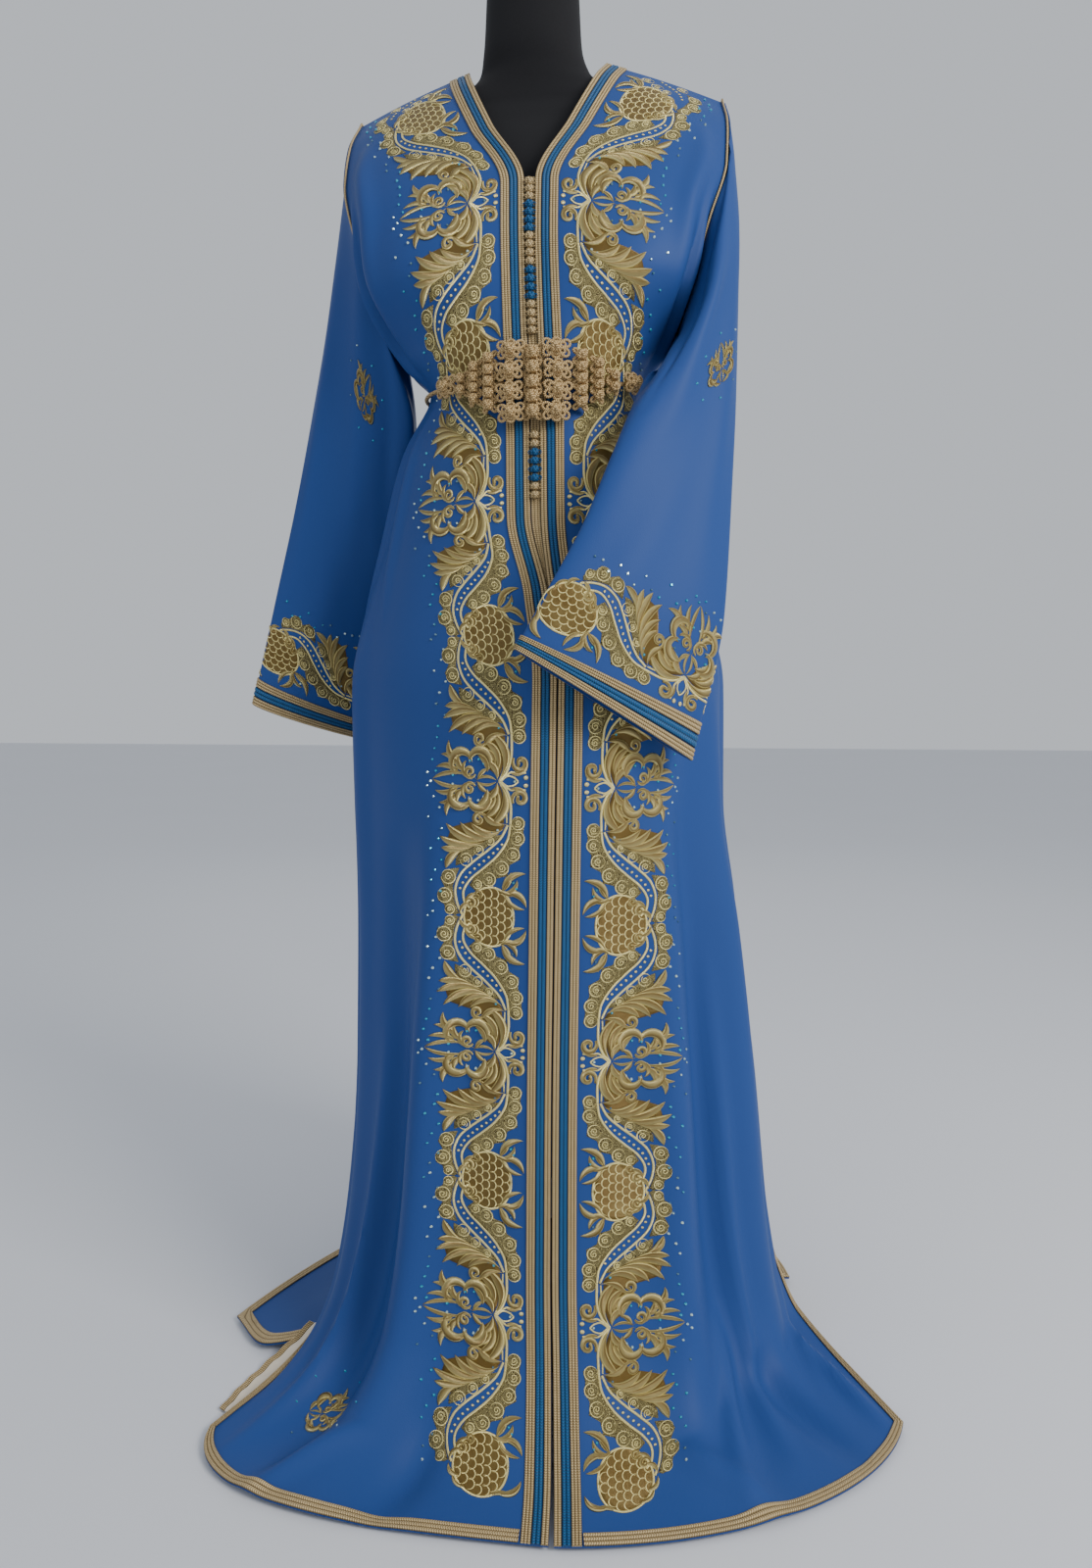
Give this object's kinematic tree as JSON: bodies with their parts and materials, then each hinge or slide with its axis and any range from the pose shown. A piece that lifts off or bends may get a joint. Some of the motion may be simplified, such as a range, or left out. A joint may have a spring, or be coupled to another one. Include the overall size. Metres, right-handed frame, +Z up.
{
  "type": "moroccan kaftan on a dress form",
  "caption": "Floor-length open-front kaftan with long wide sleeves, side slits, braid-edged button placket and knotted cord belt, worn by a limbless stand",
  "frame": {"origin": "On the floor, at the centre of the base's underside, under the form's pole.", "axes": "+Z up; -Y the front of the garment; +X the wearer's left."},
  "size_m": [0.7772, 0.7293, 1.584],
  "materials": {
    "crepe": "smooth matte crepe in cornflower blue, with raised pale gold embroidery along the fronts and cuffs",
    "gold_braid": "woven metallic gold braid with raised herringbone ribs",
    "blue_braid": "corded silk braid in deep teal blue",
    "belt_cord": "twisted antique gold cord",
    "lining_satin": "ivory satin",
    "form_cloth": "black jersey over a padded form",
    "stand": "black satin paint"
  },
  "bodies": {
    "root": {"back": "crepe", "base": "stand", "beads_left_1": "belt_cord", "beads_left_2": "belt_cord", "beads_left_3": "belt_cord", "beads_middle": "belt_cord", "beads_right_1": "belt_cord", "beads_right_2": "belt_cord", "beads_right_3": "belt_cord", "belt_cord": "belt_cord", "braid_blue_left": "blue_braid", "braid_blue_right": "blue_braid", "braid_gold_inner_left": "gold_braid", "braid_gold_inner_right": "gold_braid", "braid_gold_outer_left": "gold_braid", "braid_gold_outer_right": "gold_braid", "buttons_1": "gold_braid", "buttons_2": "blue_braid", "buttons_3": "gold_braid", "buttons_4": "blue_braid", "buttons_5": "gold_braid", "buttons_6": "gold_braid", "buttons_7": "blue_braid", "buttons_8": "gold_braid", "cuff_blue_left": "blue_braid", "cuff_blue_right": "blue_braid", "cuff_gold_edge_left": "gold_braid", "cuff_gold_edge_right": "gold_braid", "cuff_gold_top_left": "gold_braid", "cuff_gold_top_right": "gold_braid", "form_torso": "form_cloth", "front_left": "crepe", "front_right": "crepe", "hem_braid_back": "gold_braid", "hem_braid_left": "gold_braid", "hem_braid_right": "gold_braid", "knot_end_left": "belt_cord", "knot_end_right": "belt_cord", "knot_left_1": "belt_cord", "knot_left_2": "belt_cord", "knot_left_3": "belt_cord", "knot_left_4": "belt_cord", "knot_right_1": "belt_cord", "knot_right_2": "belt_cord", "knot_right_3": "belt_cord", "knot_right_4": "belt_cord", "lining": "lining_satin", "lining_braid": "gold_braid", "neck_braid_blue": "blue_braid", "neck_braid_gold_inner": "gold_braid", "neck_braid_gold_outer": "gold_braid", "neck_cap": "stand", "piping_left": "gold_braid", "piping_right": "gold_braid", "pole": "stand", "sleeve_left": "crepe", "sleeve_right": "crepe"}
  },
  "joints": []
}
